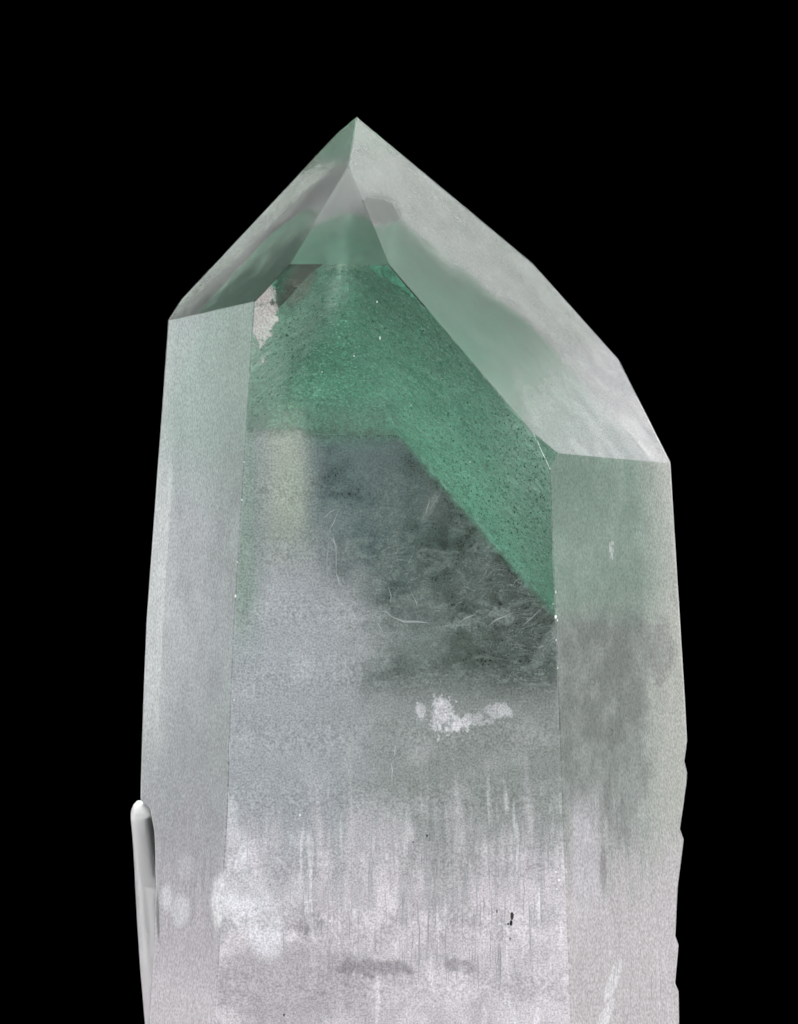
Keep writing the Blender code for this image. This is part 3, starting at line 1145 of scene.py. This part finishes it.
def face_name(normal):
    """The row of RIND for a face: one that looks up is the point's, and the foot goes with the back."""
    if normal.z > 0.3:
        for side in ("left", "right"):
            if normal.dot(outward(*POINT_FACES[side][:2])) > 0.99:
                return "point_" + side
        return "point"
    if normal.z < -0.5:
        return "back"
    flat = Vector((normal.x, normal.y, 0.0)).normalized()
    return max(PRISM_FACES, key=lambda name: flat.dot(outward(PRISM_FACES[name][0], 90.0)))


def rind_mesh():
    """The rind's body, cut off above the base, each face marked with its milk."""
    mesh = pointed_body(RIND_INSET)
    cut(mesh, Vector((0.0, 0.0, -1.0)), APEX.z - RIND_FOOT)
    for face in mesh.faces:
        face.material_index = list(RIND).index(face_name(face.normal))
    return mesh


rind = add_object("milky_rind", rind_mesh())
for name, milk in RIND.items():
    rind.data.materials.append(milk_material("milk behind " + name.replace("_", " "), *milk))
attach(rind, "root")
print("rind:", len(rind.data.polygons), "faces")

# %% [markdown]
# Behind the rind stands an opaque milky core in the crystal's root, with a
# billowing top, and a thinner cloud around and above it. The side crystal has
# milk of its own. A billow is the prism again, cut off and refined, whose top
# is lifted and dropped by noise.

# %% The core and the cloud
# a billow's foot above the base, the height of its waves in mm and the share
# of its own height where they begin, and how much it draws in towards its top
# and waves sideways
BILLOW_FOOT = 0.6 * MM
BILLOW_RISE = 5.0
BILLOW_START = 0.45
BILLOW_TAPER = 0.16
BILLOW_WAVE = 0.05

# the milk in the blade, in mm: how far in, how far down, and down to where
BLADE_MILK = {"inset": 0.12, "lower": 0.06, "deepest": 76.0}


def billow_mesh(inset, top, seed, cell):
    """A milky body that follows the prism and ends in a billowing top, in mm."""
    mesh = loft([prism_ring(level, inset) for level in EDGE_LEVELS])
    cut(mesh, Vector((0.0, 0.0, 1.0)), top * MM - APEX.z)
    cut(mesh, Vector((0.0, 0.0, -1.0)), APEX.z - BILLOW_FOOT)
    refine(mesh, cell * MM, 8)
    for v in mesh.verts:
        share = max(0.0, (v.co.z / MM - top * BILLOW_START) / (top * (1.0 - BILLOW_START)))
        broad, fine = noise.noise(v.co * 95.0 + Vector((seed, 0, 0))), noise.noise(v.co * 300.0)
        v.co.z += share * (broad + fine * 0.3) * BILLOW_RISE * MM
        draw = 1.0 - BILLOW_TAPER * share * share
        swell = abs(noise.noise(v.co * 220.0 + Vector((0, seed, 0)))) * min(1.0, v.co.z / MM / 4.0)
        for k in (0, 1):
            v.co[k] = APEX[k] + (v.co[k] - APEX[k]) * draw * (1.0 - BILLOW_WAVE * swell)
    for face in mesh.faces:
        face.smooth = True
    bmesh.ops.recalc_face_normals(mesh, faces=mesh.faces)
    return mesh


def cloud_mask(p):
    """Thick in the root, and thinning upwards and to the right."""
    rough = p.drift * 16.0
    diagonal = (p.z + p.x * 0.75 + rough).step(24.0, 42.0)
    return (1 - diagonal) * (1 - (p.z + rough * 0.4).step(28.0, 38.0)) * 0.8


def blade_mask(p):
    """Nearly solid milk."""
    return 0.92 + p.drift * 0.4


def blade_tone(p):
    """Warm white at the foot, grey above it, and a pale head of painted light where its top catches the
    light.
    """
    low = (p.z + p.fray * 3.0).step(11.0, 18.0).blend((0.45, 0.425, 0.45), (0.375, 0.372, 0.382))
    # the pale head is painted light on the blade's top
    return (p.z + p.fray * 2.0).step(24.4, 26.0).blend(low, (0.52, 0.525, 0.52))


for name, mesh, milk in (
    ("side_crystal_milk", blade_mesh(**BLADE_MILK), ("milk in the side crystal", blade_mask, blade_tone)),
    ("milky_core", billow_mesh(1.6, 24.0, 3.0, 1.76), ("milky core", None, tone_plain)),
    ("milky_cloud", billow_mesh(3.4, 42.0, 9.0, 2.24), ("milky cloud", cloud_mask, tone_plain)),
):
    body = add_object(name, mesh, milk_material(*milk))
    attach(body, "root")
    print(name, len(body.data.polygons), "faces")

# %% [markdown]
# ## What is caught in the quartz
#
# Between the clear and the milky quartz there are small things that a flat
# pattern can't give: grains of white quartz, upright fibres, thin healed
# cracks, black specks and brown scratches, and white grains that stand for
# glints as painted highlights. Each one is a small closed body. It is placed by
# the spot where the photograph shows it, and sits a little way behind the face
# that it is seen through.

# %% Small bodies
# in mm: how far behind the surface, half the depth of a grain, and what one
# pixel of the photograph shows of the front face
SEALED_DEPTH = 0.07
GRAIN_DEPTH = 0.04
PIXEL = 0.0734

surface = BVHTree.FromPolygons(
    [v.co for v in crystal.data.vertices], [p.vertices[:] for p in crystal.data.polygons],
)


def sealed(px, py, face):
    """The point just behind the crystal's surface that a pixel of the photograph shows."""
    point = on_face(px, py, face, SEALED_DEPTH)
    near, normal, _, _ = surface.find_nearest(point)
    if (near - point).dot(normal) < 0.9 * SEALED_DEPTH * MM:
        point = near - normal * SEALED_DEPTH * MM
    return point


def face_frame(face):
    """A face's own directions: across, outward and up along the face."""
    normal = face_normal(face)
    across = Vector((0.0, 0.0, 1.0)).cross(normal).normalized()
    return across, normal, normal.cross(across)


def blob(mesh, face, px, py, wide, high, seed):
    """One irregular grain: a ball of 20 triangles, stretched and dented, sizes in mm."""
    middle = sealed(px, py, face)
    reach = [way * size * MM for way, size in zip(face_frame(face), (wide, GRAIN_DEPTH, high))]
    made = bmesh.ops.create_icosphere(mesh, subdivisions=1, radius=1.0)
    for v in made["verts"]:
        dent = 1.0 + 0.35 * noise.noise(v.co * 1.7 + Vector((seed, seed * 0.3, -seed)))
        v.co = middle + sum((way * c for way, c in zip(reach, v.co.copy())), Vector()) * dent


def spindle(mesh, path, widths):
    """A thin thread along a path of points: three sides, pointed at both ends."""
    rings = []
    for k in range(1, len(path) - 1):
        along = (path[k + 1] - path[k - 1]).normalized()
        side = along.cross(Vector((0, 1, 0))).normalized()
        deep = along.cross(side)
        ring = []
        for j in range(3):
            turn = 2 * math.pi * j / 3
            reach = side * math.cos(turn) + deep * math.sin(turn) * 0.5
            ring.append(mesh.verts.new(path[k] + reach * widths[k] * MM))
        rings.append(ring)
    first, last = mesh.verts.new(path[0]), mesh.verts.new(path[-1])
    for j in range(3):
        nxt = (j + 1) % 3
        mesh.faces.new((first, rings[0][j], rings[0][nxt]))
        mesh.faces.new((last, rings[-1][nxt], rings[-1][j]))
        for upper, lower in zip(rings, rings[1:]):
            mesh.faces.new((upper[j], lower[j], lower[nxt], upper[nxt]))


def keep(name, mesh, material):
    """Add a piece that is sealed in the quartz."""
    bmesh.ops.recalc_face_normals(mesh, faces=mesh.faces)
    thing = add_object(name, mesh, material)
    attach(thing, "root")
    print(name, len(thing.data.polygons), "faces")


# %% Finishes of the small bodies
def white_quartz_and_glints(name, pale, dark, alpha=None):
    """Granular white quartz, a little uneven in tone, and half clear where it has an alpha; solid and near
    white, it also makes the painted glints.
    """
    material, tree, shader = new_material(name, Roughness=0.6, Specular_IOR_Level=0.3)
    spot = place(tree)
    feed(tree, shader, "Base Color", grain(spot, 900.0, 2.0).step(0.3, 0.7).blend(dark, pale))
    if alpha:
        feed(tree, shader, "Alpha", (grain(spot, 600.0, 2.0) - 0.5) * 0.6 + alpha)
    bump(tree, shader, 0.5, 0.05 * MM, grain(spot, 4000.0, 2.0))
    return material


def dark_mineral(name, first, second, rough):
    """Black or brown grains with a faint sheen."""
    material, tree, shader = new_material(name)
    spot = place(tree)
    feed(tree, shader, "Base Color", grain(spot, 2500.0, 2.0).blend(first, second))
    feed(tree, shader, "Roughness", grain(spot, 3000.0, 1.0) * 0.3 + rough)
    return material


grain_white = white_quartz_and_glints("white quartz grains", (0.64, 0.64, 0.665), (0.48, 0.48, 0.50), 0.7)
fibre_white = white_quartz_and_glints("white quartz fibres", (0.64, 0.63, 0.66), (0.46, 0.46, 0.49), 0.7)
wisp_white = white_quartz_and_glints("healed cracks", (0.46, 0.49, 0.49), (0.32, 0.36, 0.36), 0.65)
glint_white = white_quartz_and_glints("painted glints", (0.92, 0.93, 0.92), (0.80, 0.82, 0.81))
black = dark_mineral("black specks", (0.004, 0.004, 0.004), (0.012, 0.011, 0.010), 0.35)
brown = dark_mineral("brown scratches", (0.06, 0.042, 0.032), (0.11, 0.08, 0.06), 0.6)
for finish in (grain_white, fibre_white, wisp_white, glint_white, black, brown):
    print("finish:", finish.name)

# %% [markdown]
# White grains of quartz lie strewn below the window and high on the right
# face. Each patch is an oval of the photograph that is filled by chance,
# thickest in its middle, because a natural scatter has no pattern.

# %% Granular patches
chance = random.Random(21)

# how far a patch of grains spreads, as a share of its box
SPREAD = 1.2


def scatter(mesh, face, box, count, size, shape=1.0):
    """Grains inside an oval of the photograph, thicker towards its middle."""
    left, top, right, bottom = box
    for _ in range(count):
        u, v = chance.gauss(0.0, 0.36), chance.gauss(0.0, 0.38)
        px = (left + right) / 2 + u * (right - left) / 2 * SPREAD
        py = (top + bottom) / 2 + v * (bottom - top) / 2 * SPREAD
        grow = size * 0.6 * chance.uniform(0.4, 1.3)
        high = grow * shape * chance.uniform(0.7, 1.4)
        blob(mesh, face, px, py, grow, high, chance.uniform(0, 50))


grains = bmesh.new()
for face, box, count, size, shape in (
    ("front", (413, 702, 428, 722), 18, 0.13, 1.0), ("front", (428, 698, 456, 730), 48, 0.14, 1.0),
    ("front", (444, 712, 470, 734), 14, 0.10, 1.0), ("front", (470, 706, 508, 726), 26, 0.10, 1.0),
    ("right", (606, 539, 616, 562), 16, 0.20, 1.8),
):
    scatter(grains, face, box, count, size, shape)
keep("white_grains", grains, grain_white)

# %% [markdown]
# In the root the milk hangs in upright fibres. The fine ones are drawn by
# chance, most of them near the middle, and the strong ones stand one by one
# where the photograph shows them.

# %% Upright fibres
# a fibre's width from its top to its foot, as a share of its full width
FIBRE_SHAPE = (0, 0.8, 1.0, 0.9, 0.6, 0)

# where the front face begins in the photograph, low on the left, in pixels
FRONT_EDGE_PIXEL = 236

fibres = bmesh.new()


def fibre(face, px, py, length, width, lean=0.0):
    """One upright thread, given by its top in the photograph and its length and width in pixels."""
    steps = len(FIBRE_SHAPE) - 1
    path = []
    for k in range(steps + 1):
        share = k / steps
        sway = chance.uniform(-0.5, 0.5)
        path.append(sealed(px + lean * share * length + sway, py + share * length, face))
    spindle(fibres, path, [width * PIXEL * 0.5 * w for w in FIBRE_SHAPE])


for _ in range(150):
    px = chance.triangular(FRONT_EDGE_PIXEL, 575, 430)
    py = chance.uniform(815, 960) + abs(px - 400) * 0.05
    length, width = chance.uniform(8, 60), chance.choice((0.6, 0.7, 0.9, 1.3))
    fibre("front", px, py, length, width, chance.uniform(-0.03, 0.03))
for _ in range(14):
    fibre("left", chance.uniform(165, 214), chance.uniform(820, 990), chance.uniform(6, 26), 0.7)
for _ in range(34):
    fibre("right", chance.uniform(582, 668), chance.uniform(800, 990), chance.uniform(8, 40), 0.9)
for px, py, length, width in (
    (303, 838, 30, 1.2), (328, 868, 38, 1.6), (362, 822, 22, 1.2), (371, 870, 30, 1.2), (397, 812, 26, 1.4),
    (402, 868, 62, 2.2), (435, 862, 40, 1.6), (457, 880, 46, 1.4), (474, 905, 30, 1.4), (548, 842, 30, 2.2),
    (498, 940, 36, 1.4), (515, 958, 20, 1.2), (356, 955, 16, 1.6), (330, 914, 14, 1.6), (228, 790, 16, 1.2),
    (392, 760, 26, 1.0), (228, 740, 22, 0.9), (230, 640, 18, 0.9), (395, 745, 12, 0.9), (508, 842, 14, 1.0),
    (349, 905, 40, 1.2), (384, 845, 20, 1.2), (418, 905, 24, 1.6), (290, 880, 30, 1.3), (311, 900, 26, 1.1),
):
    fibre("front" if px > FRONT_EDGE_PIXEL else "left", px, py, length, width)
keep("white_fibres", fibres, fibre_white)

# %% [markdown]
# Where the crystal once cracked and healed, thin bright lines cross the smoky
# window. The long ones follow the photograph from point to point, and short
# stray ones lie between them.

# %% Healed cracks and wisps in the clear window
wisps = bmesh.new()


def wisp(width, points):
    """A thin crooked veil line through pixels of the photograph."""
    path = [sealed(px, py, "front") for px, py in points]
    swell = [0.7 + 0.4 * math.sin(k * 2.1 + 1.0) for k in range(len(path))]
    spindle(wisps, path, [width * PIXEL * 0.6 * share for share in swell])


for width, *points in (
    (2.2, (328, 590), (327, 560), (329, 543), (333, 539), (336, 548), (336, 572), (339, 583), (346, 592),
     (354, 600)),
    (1.0, (322, 520), (330, 512), (340, 508)),
    (2.4, (375, 611), (386, 612), (392, 617), (404, 622), (418, 622), (430, 623)),
    (1.8, (383, 618), (378, 624), (384, 634)),
    (2.2, (456, 625), (466, 618), (474, 615), (478, 611)),
    (2.4, (486, 628), (496, 620), (506, 616), (514, 612)),
    (1.4, (520, 628), (532, 618), (544, 606)),
    (1.2, (424, 518), (428, 506), (431, 497)),
    (1.0, (428, 512), (436, 500), (440, 494)),
    (0.9, (340, 505), (334, 522), (326, 536)),
    (1.1, (388, 585), (391, 596), (390, 604)),
    (1.2, (410, 590), (416, 602), (418, 610)),
    (1.6, (566, 733), (571, 738), (577, 735), (583, 733)),
):
    wisp(width, points)


def in_window(px, py):
    """True in the part of the window that stray wisps may lie in."""
    return 320 + (py - 520) * 0.35 <= px <= 400 + (py - 480) * 1.1


for _ in range(28):
    px, py = chance.uniform(335, 540), chance.uniform(500, 690)
    if in_window(px, py):
        turn, reach = chance.uniform(-1.1, 0.3), chance.uniform(2, 7)
        points = []
        for s in (0, 0.5, 1.0, 1.5, 2.0):
            points.append((px + reach * s * math.cos(turn) + chance.uniform(-1.2, 1.2),
                           py + reach * s * math.sin(turn) + chance.uniform(-1.2, 1.2)))
        wisp(chance.uniform(0.3, 0.8), points)
keep("healed_cracks", wisps, wisp_white)

# %% [markdown]
# A few things stand out singly: white grains along the front's edges and on
# the film that stand for glints as painted highlights, black specks in the root,
# and brown scratches on the right face.
# They are so few that each one is listed on its own.

# %% Painted glints along the front's edges and on the film
# white grains that stand for glints along the edges and on the film: painted highlights
glint_grains = bmesh.new()
for px, py, size in (
    (558, 592, 0.09), (556, 617, 0.12), (561, 620, 0.10), (553, 604, 0.06), (377, 302, 0.09),
    (380, 338, 0.08), (234, 596, 0.07), (244, 462, 0.05), (300, 815, 0.06), (234, 700, 0.05),
    (330, 921, 0.08), (556, 872, 0.09), (559, 880, 0.10), (557, 889, 0.07), (569, 872, 0.06),
    (242, 500, 0.05), (556, 640, 0.05), (558, 668, 0.05), (236, 562, 0.05), (354, 356, 0.05),
    (411, 405, 0.04), (470, 462, 0.05), (322, 372, 0.05),
):
    blob(glint_grains, "front", px, py, size * 0.8, size * chance.uniform(0.9, 1.8), px * 0.1)
keep("painted_glints", glint_grains, glint_white)

# %% Black specks and brown scratches
SCRATCH_WIDTH = 0.05

specks = bmesh.new()
for px, py, wide, high in (
    (512, 916, 0.13, 0.30), (511, 923, 0.12, 0.22), (508, 924, 0.07, 0.10), (510, 939, 0.04, 0.12),
    (497, 911, 0.04, 0.16), (427, 836, 0.07, 0.12), (284, 1015, 0.08, 0.10), (414, 859, 0.05, 0.04),
    (270, 885, 0.04, 0.08), (413, 842, 0.05, 0.06),
):
    blob(specks, "front", px, py, wide, high, px * 0.37)
keep("black_specks", specks, black)

scratches = bmesh.new()
for points in (
    ((588, 680), (592, 679), (595, 682), (593, 685), (590, 684)),
    ((608, 727), (612, 730), (611, 735), (607, 738)),
    ((648, 652), (651, 656), (650, 662)), ((576, 536), (579, 539), (582, 539)),
):
    path = [sealed(px, py, "right") for px, py in points]
    spindle(scratches, path, [SCRATCH_WIDTH] * len(path))
keep("brown_scratches", scratches, brown)

# %% [markdown]
# ## Mica flakes
#
# Fuchsite splits into thin shiny leaves. Thousands of hexagonal flakes, each
# about a tenth of a millimetre across, lie on the film at slightly different
# tilts, so a few of them catch the light and the rest give the film its grain.

# %% Flakes on the film
FLAKES = 4500
FLAKE_SIDES = 6

# the smallest and the largest radius in mm
FLAKE_RADIUS = (0.045, 0.11)

FLAKE_THICKNESS = 0.012 * MM
FLAKE_LIFT = 0.03 * MM

# how far a flake may tip out of the film, and its width as a share of its length
FLAKE_TILT = 0.35
FLAKE_WIDTH = 0.85


def mica():
    """Shiny leaves, darker towards the summit as the film is."""
    material, tree, shader = new_material("mica flakes", Specular_IOR_Level=0.5)
    spot = place(tree)
    base = grain(spot, 3000.0, 2.0).step(0.35, 0.65).blend((0.03, 0.15, 0.09), (0.13, 0.33, 0.23))
    high = (axis(spot, "Z") * MM_PER_METRE).step(50.0, 64.0)
    feed(tree, shader, "Base Color", (high * 0.5).blend(base, (0.01, 0.08, 0.045)))
    feed(tree, shader, "Roughness", grain(spot, 2500.0, 1.0) * 0.4 + 0.25)
    return material


def outer_faces(data):
    """The film's triangles that look outward, and their areas added up one after another."""
    normals = [outward(compass, from_axis) for compass, from_axis, _, _ in POINT_FACES.values()]
    outer = [p for p in data.polygons if max(p.normal.dot(n) for n in normals) > 0.8 and p.normal.z > 0.3]
    return outer, list(accumulate(p.area for p in outer))


def flake(mesh, middle, up, radius, spin):
    """One thin hexagonal leaf."""
    side = up.orthogonal().normalized()
    other = up.cross(side)
    lower, upper = [], []
    for k in range(FLAKE_SIDES):
        turn = spin + k * 2 * math.pi / FLAKE_SIDES
        reach = (side * math.cos(turn) + other * math.sin(turn) * FLAKE_WIDTH) * radius
        lower.append(mesh.verts.new(middle + reach - up * FLAKE_THICKNESS))
        upper.append(mesh.verts.new(middle + reach + up * FLAKE_THICKNESS))
    mesh.faces.new(upper)
    mesh.faces.new(list(reversed(lower)))
    for k in range(FLAKE_SIDES):
        nxt = (k + 1) % FLAKE_SIDES
        mesh.faces.new((lower[k], lower[nxt], upper[nxt], upper[k]))


def flakes_mesh():
    """Leaves scattered evenly over the film's outside."""
    draw = random.Random(7)
    points = film.data.vertices
    outer, areas = outer_faces(film.data)
    mesh = bmesh.new()
    for _ in range(FLAKES):
        face = outer[bisect_left(areas, draw.random() * areas[-1])]
        a, b, c = (points[i].co for i in face.vertices[:3])
        u, v = draw.random(), draw.random()
        if u + v > 1:
            u, v = 1 - u, 1 - v
        middle = a + (b - a) * u + (c - a) * v + face.normal * FLAKE_LIFT
        tilt = Vector((draw.gauss(0, 1), draw.gauss(0, 1), draw.gauss(0, 1))) * FLAKE_TILT
        radius = draw.uniform(*FLAKE_RADIUS) * MM
        flake(mesh, middle, (face.normal + tilt).normalized(), radius, draw.uniform(0, math.pi))
    return mesh


keep("mica_flakes", flakes_mesh(), mica())

# %% [markdown]
# ## Floor, light and camera
#
# The photograph has a black surround and soft light from both sides and above.
# Large area lights stand to the sides, just out of view, so that they show in
# the crystal's edges as pale bands. The floor is a pale round board that ends
# shortly behind the crystal, so that the clear quartz has dark behind it.

# %% Floor
FLOOR_RADIUS, FLOOR_MIDDLE, FLOOR_SIDES = 0.20, -0.12, 96

# rings of the board, from its worn rim down: how far in, and how high, in metres
FLOOR_RINGS = ((0.0006, -0.0001), (0.0, -0.0006), (0.0, -0.0040))


def floor_mesh():
    """A round board, just below the crystal's base."""
    rings = []
    for moved_in, z in FLOOR_RINGS:
        r = FLOOR_RADIUS - moved_in
        turns = [2 * math.pi * k / FLOOR_SIDES for k in range(FLOOR_SIDES)]
        rings.append([Vector((r * math.cos(t), FLOOR_MIDDLE + r * math.sin(t), z)) for t in turns])
    return loft(rings)


def floor_material():
    """Pale, slightly uneven board."""
    material, tree, shader = new_material("pale floor", Roughness=0.6, Specular_IOR_Level=0.2)
    spot = place(tree)
    feed(tree, shader, "Base Color", grain(spot, 60.0).blend((0.50, 0.50, 0.49), (0.55, 0.55, 0.54)))
    return material


floor = add_object("floor", floor_mesh(), floor_material())
print("floor:", 2 * FLOOR_RADIUS, "m across")

# %% Lights
LIGHT_TARGET = Vector((0.0, 0.0, 0.045))

# name, place in metres, width and height in metres, and power in watts
LIGHTS = (
    ("key box", (0.0, -0.50, 0.55), (0.7, 0.45), 7.5),
    ("left front box", (-0.52, -0.36, 0.16), (0.40, 0.50), 5.4),
    ("right front box", (0.52, -0.36, 0.16), (0.40, 0.50), 5.4),
    ("left back box", (-0.60, 0.28, 0.10), (0.40, 0.45), 0.5),
    ("right back box", (0.60, 0.28, 0.12), (0.40, 0.45), 0.42),
    ("high right box", (0.40, 0.46, 0.36), (0.3, 0.3), 0.20),
    ("high back box", (0.0, 0.40, 0.58), (0.50, 0.50), 14.0),
)


def soft_light(name, where, size, power):
    """A large area light that looks at the crystal's middle and isn't seen itself."""
    data = bpy.data.lights.new(name, "AREA")
    data.shape = "RECTANGLE"
    data.size, data.size_y = size
    data.energy = power
    lamp = bpy.data.objects.new(name, data)
    lamp.location = where
    lamp.rotation_mode = "QUATERNION"
    lamp.rotation_quaternion = (LIGHT_TARGET - Vector(where)).to_track_quat("-Z", "Y")
    lamp.visible_camera = False
    bpy.context.scene.collection.objects.link(lamp)


for row in LIGHTS:
    soft_light(*row)

world = bpy.data.worlds.new("dark room")
world.use_nodes = True
world.node_tree.nodes["Background"].inputs["Color"].default_value = (0.0, 0.0, 0.0, 1.0)
bpy.context.scene.world = world
print(len(LIGHTS), "lights,", round(sum(row[3] for row in LIGHTS), 2), "W in all")

# %% Camera
SENSOR = 36.0

camera_data = bpy.data.cameras.new("camera")
camera_data.lens = FOCAL / PIXELS_HIGH * SENSOR
camera_data.sensor_width = SENSOR
camera_data.clip_start, camera_data.clip_end = 0.01, 10.0
camera = bpy.data.objects.new("camera", camera_data)
turn = Matrix((RIGHT, UP, BACK)).transposed().to_4x4()
camera.matrix_world = Matrix.Translation(EYE) @ turn
bpy.context.scene.collection.objects.link(camera)
bpy.context.scene.camera = camera
print("camera at", [round(v, 4) for v in EYE])

# %% [markdown]
# Light that reaches the milk goes through the clear quartz, the rind and the
# cloud, and comes out through them again. The renderer has to follow it that
# far, or the inside turns black.

# %% Render settings that the glass needs
scene = bpy.context.scene
scene.view_settings.view_transform = "Standard"
scene.cycles.max_bounces = 14
scene.cycles.transmission_bounces = 12
scene.cycles.transparent_max_bounces = 40
scene.cycles.diffuse_bounces = 4
scene.cycles.glossy_bounces = 8
scene.cycles.sample_clamp_indirect = 6.0
print("light is followed through", scene.cycles.max_bounces, "bounces")
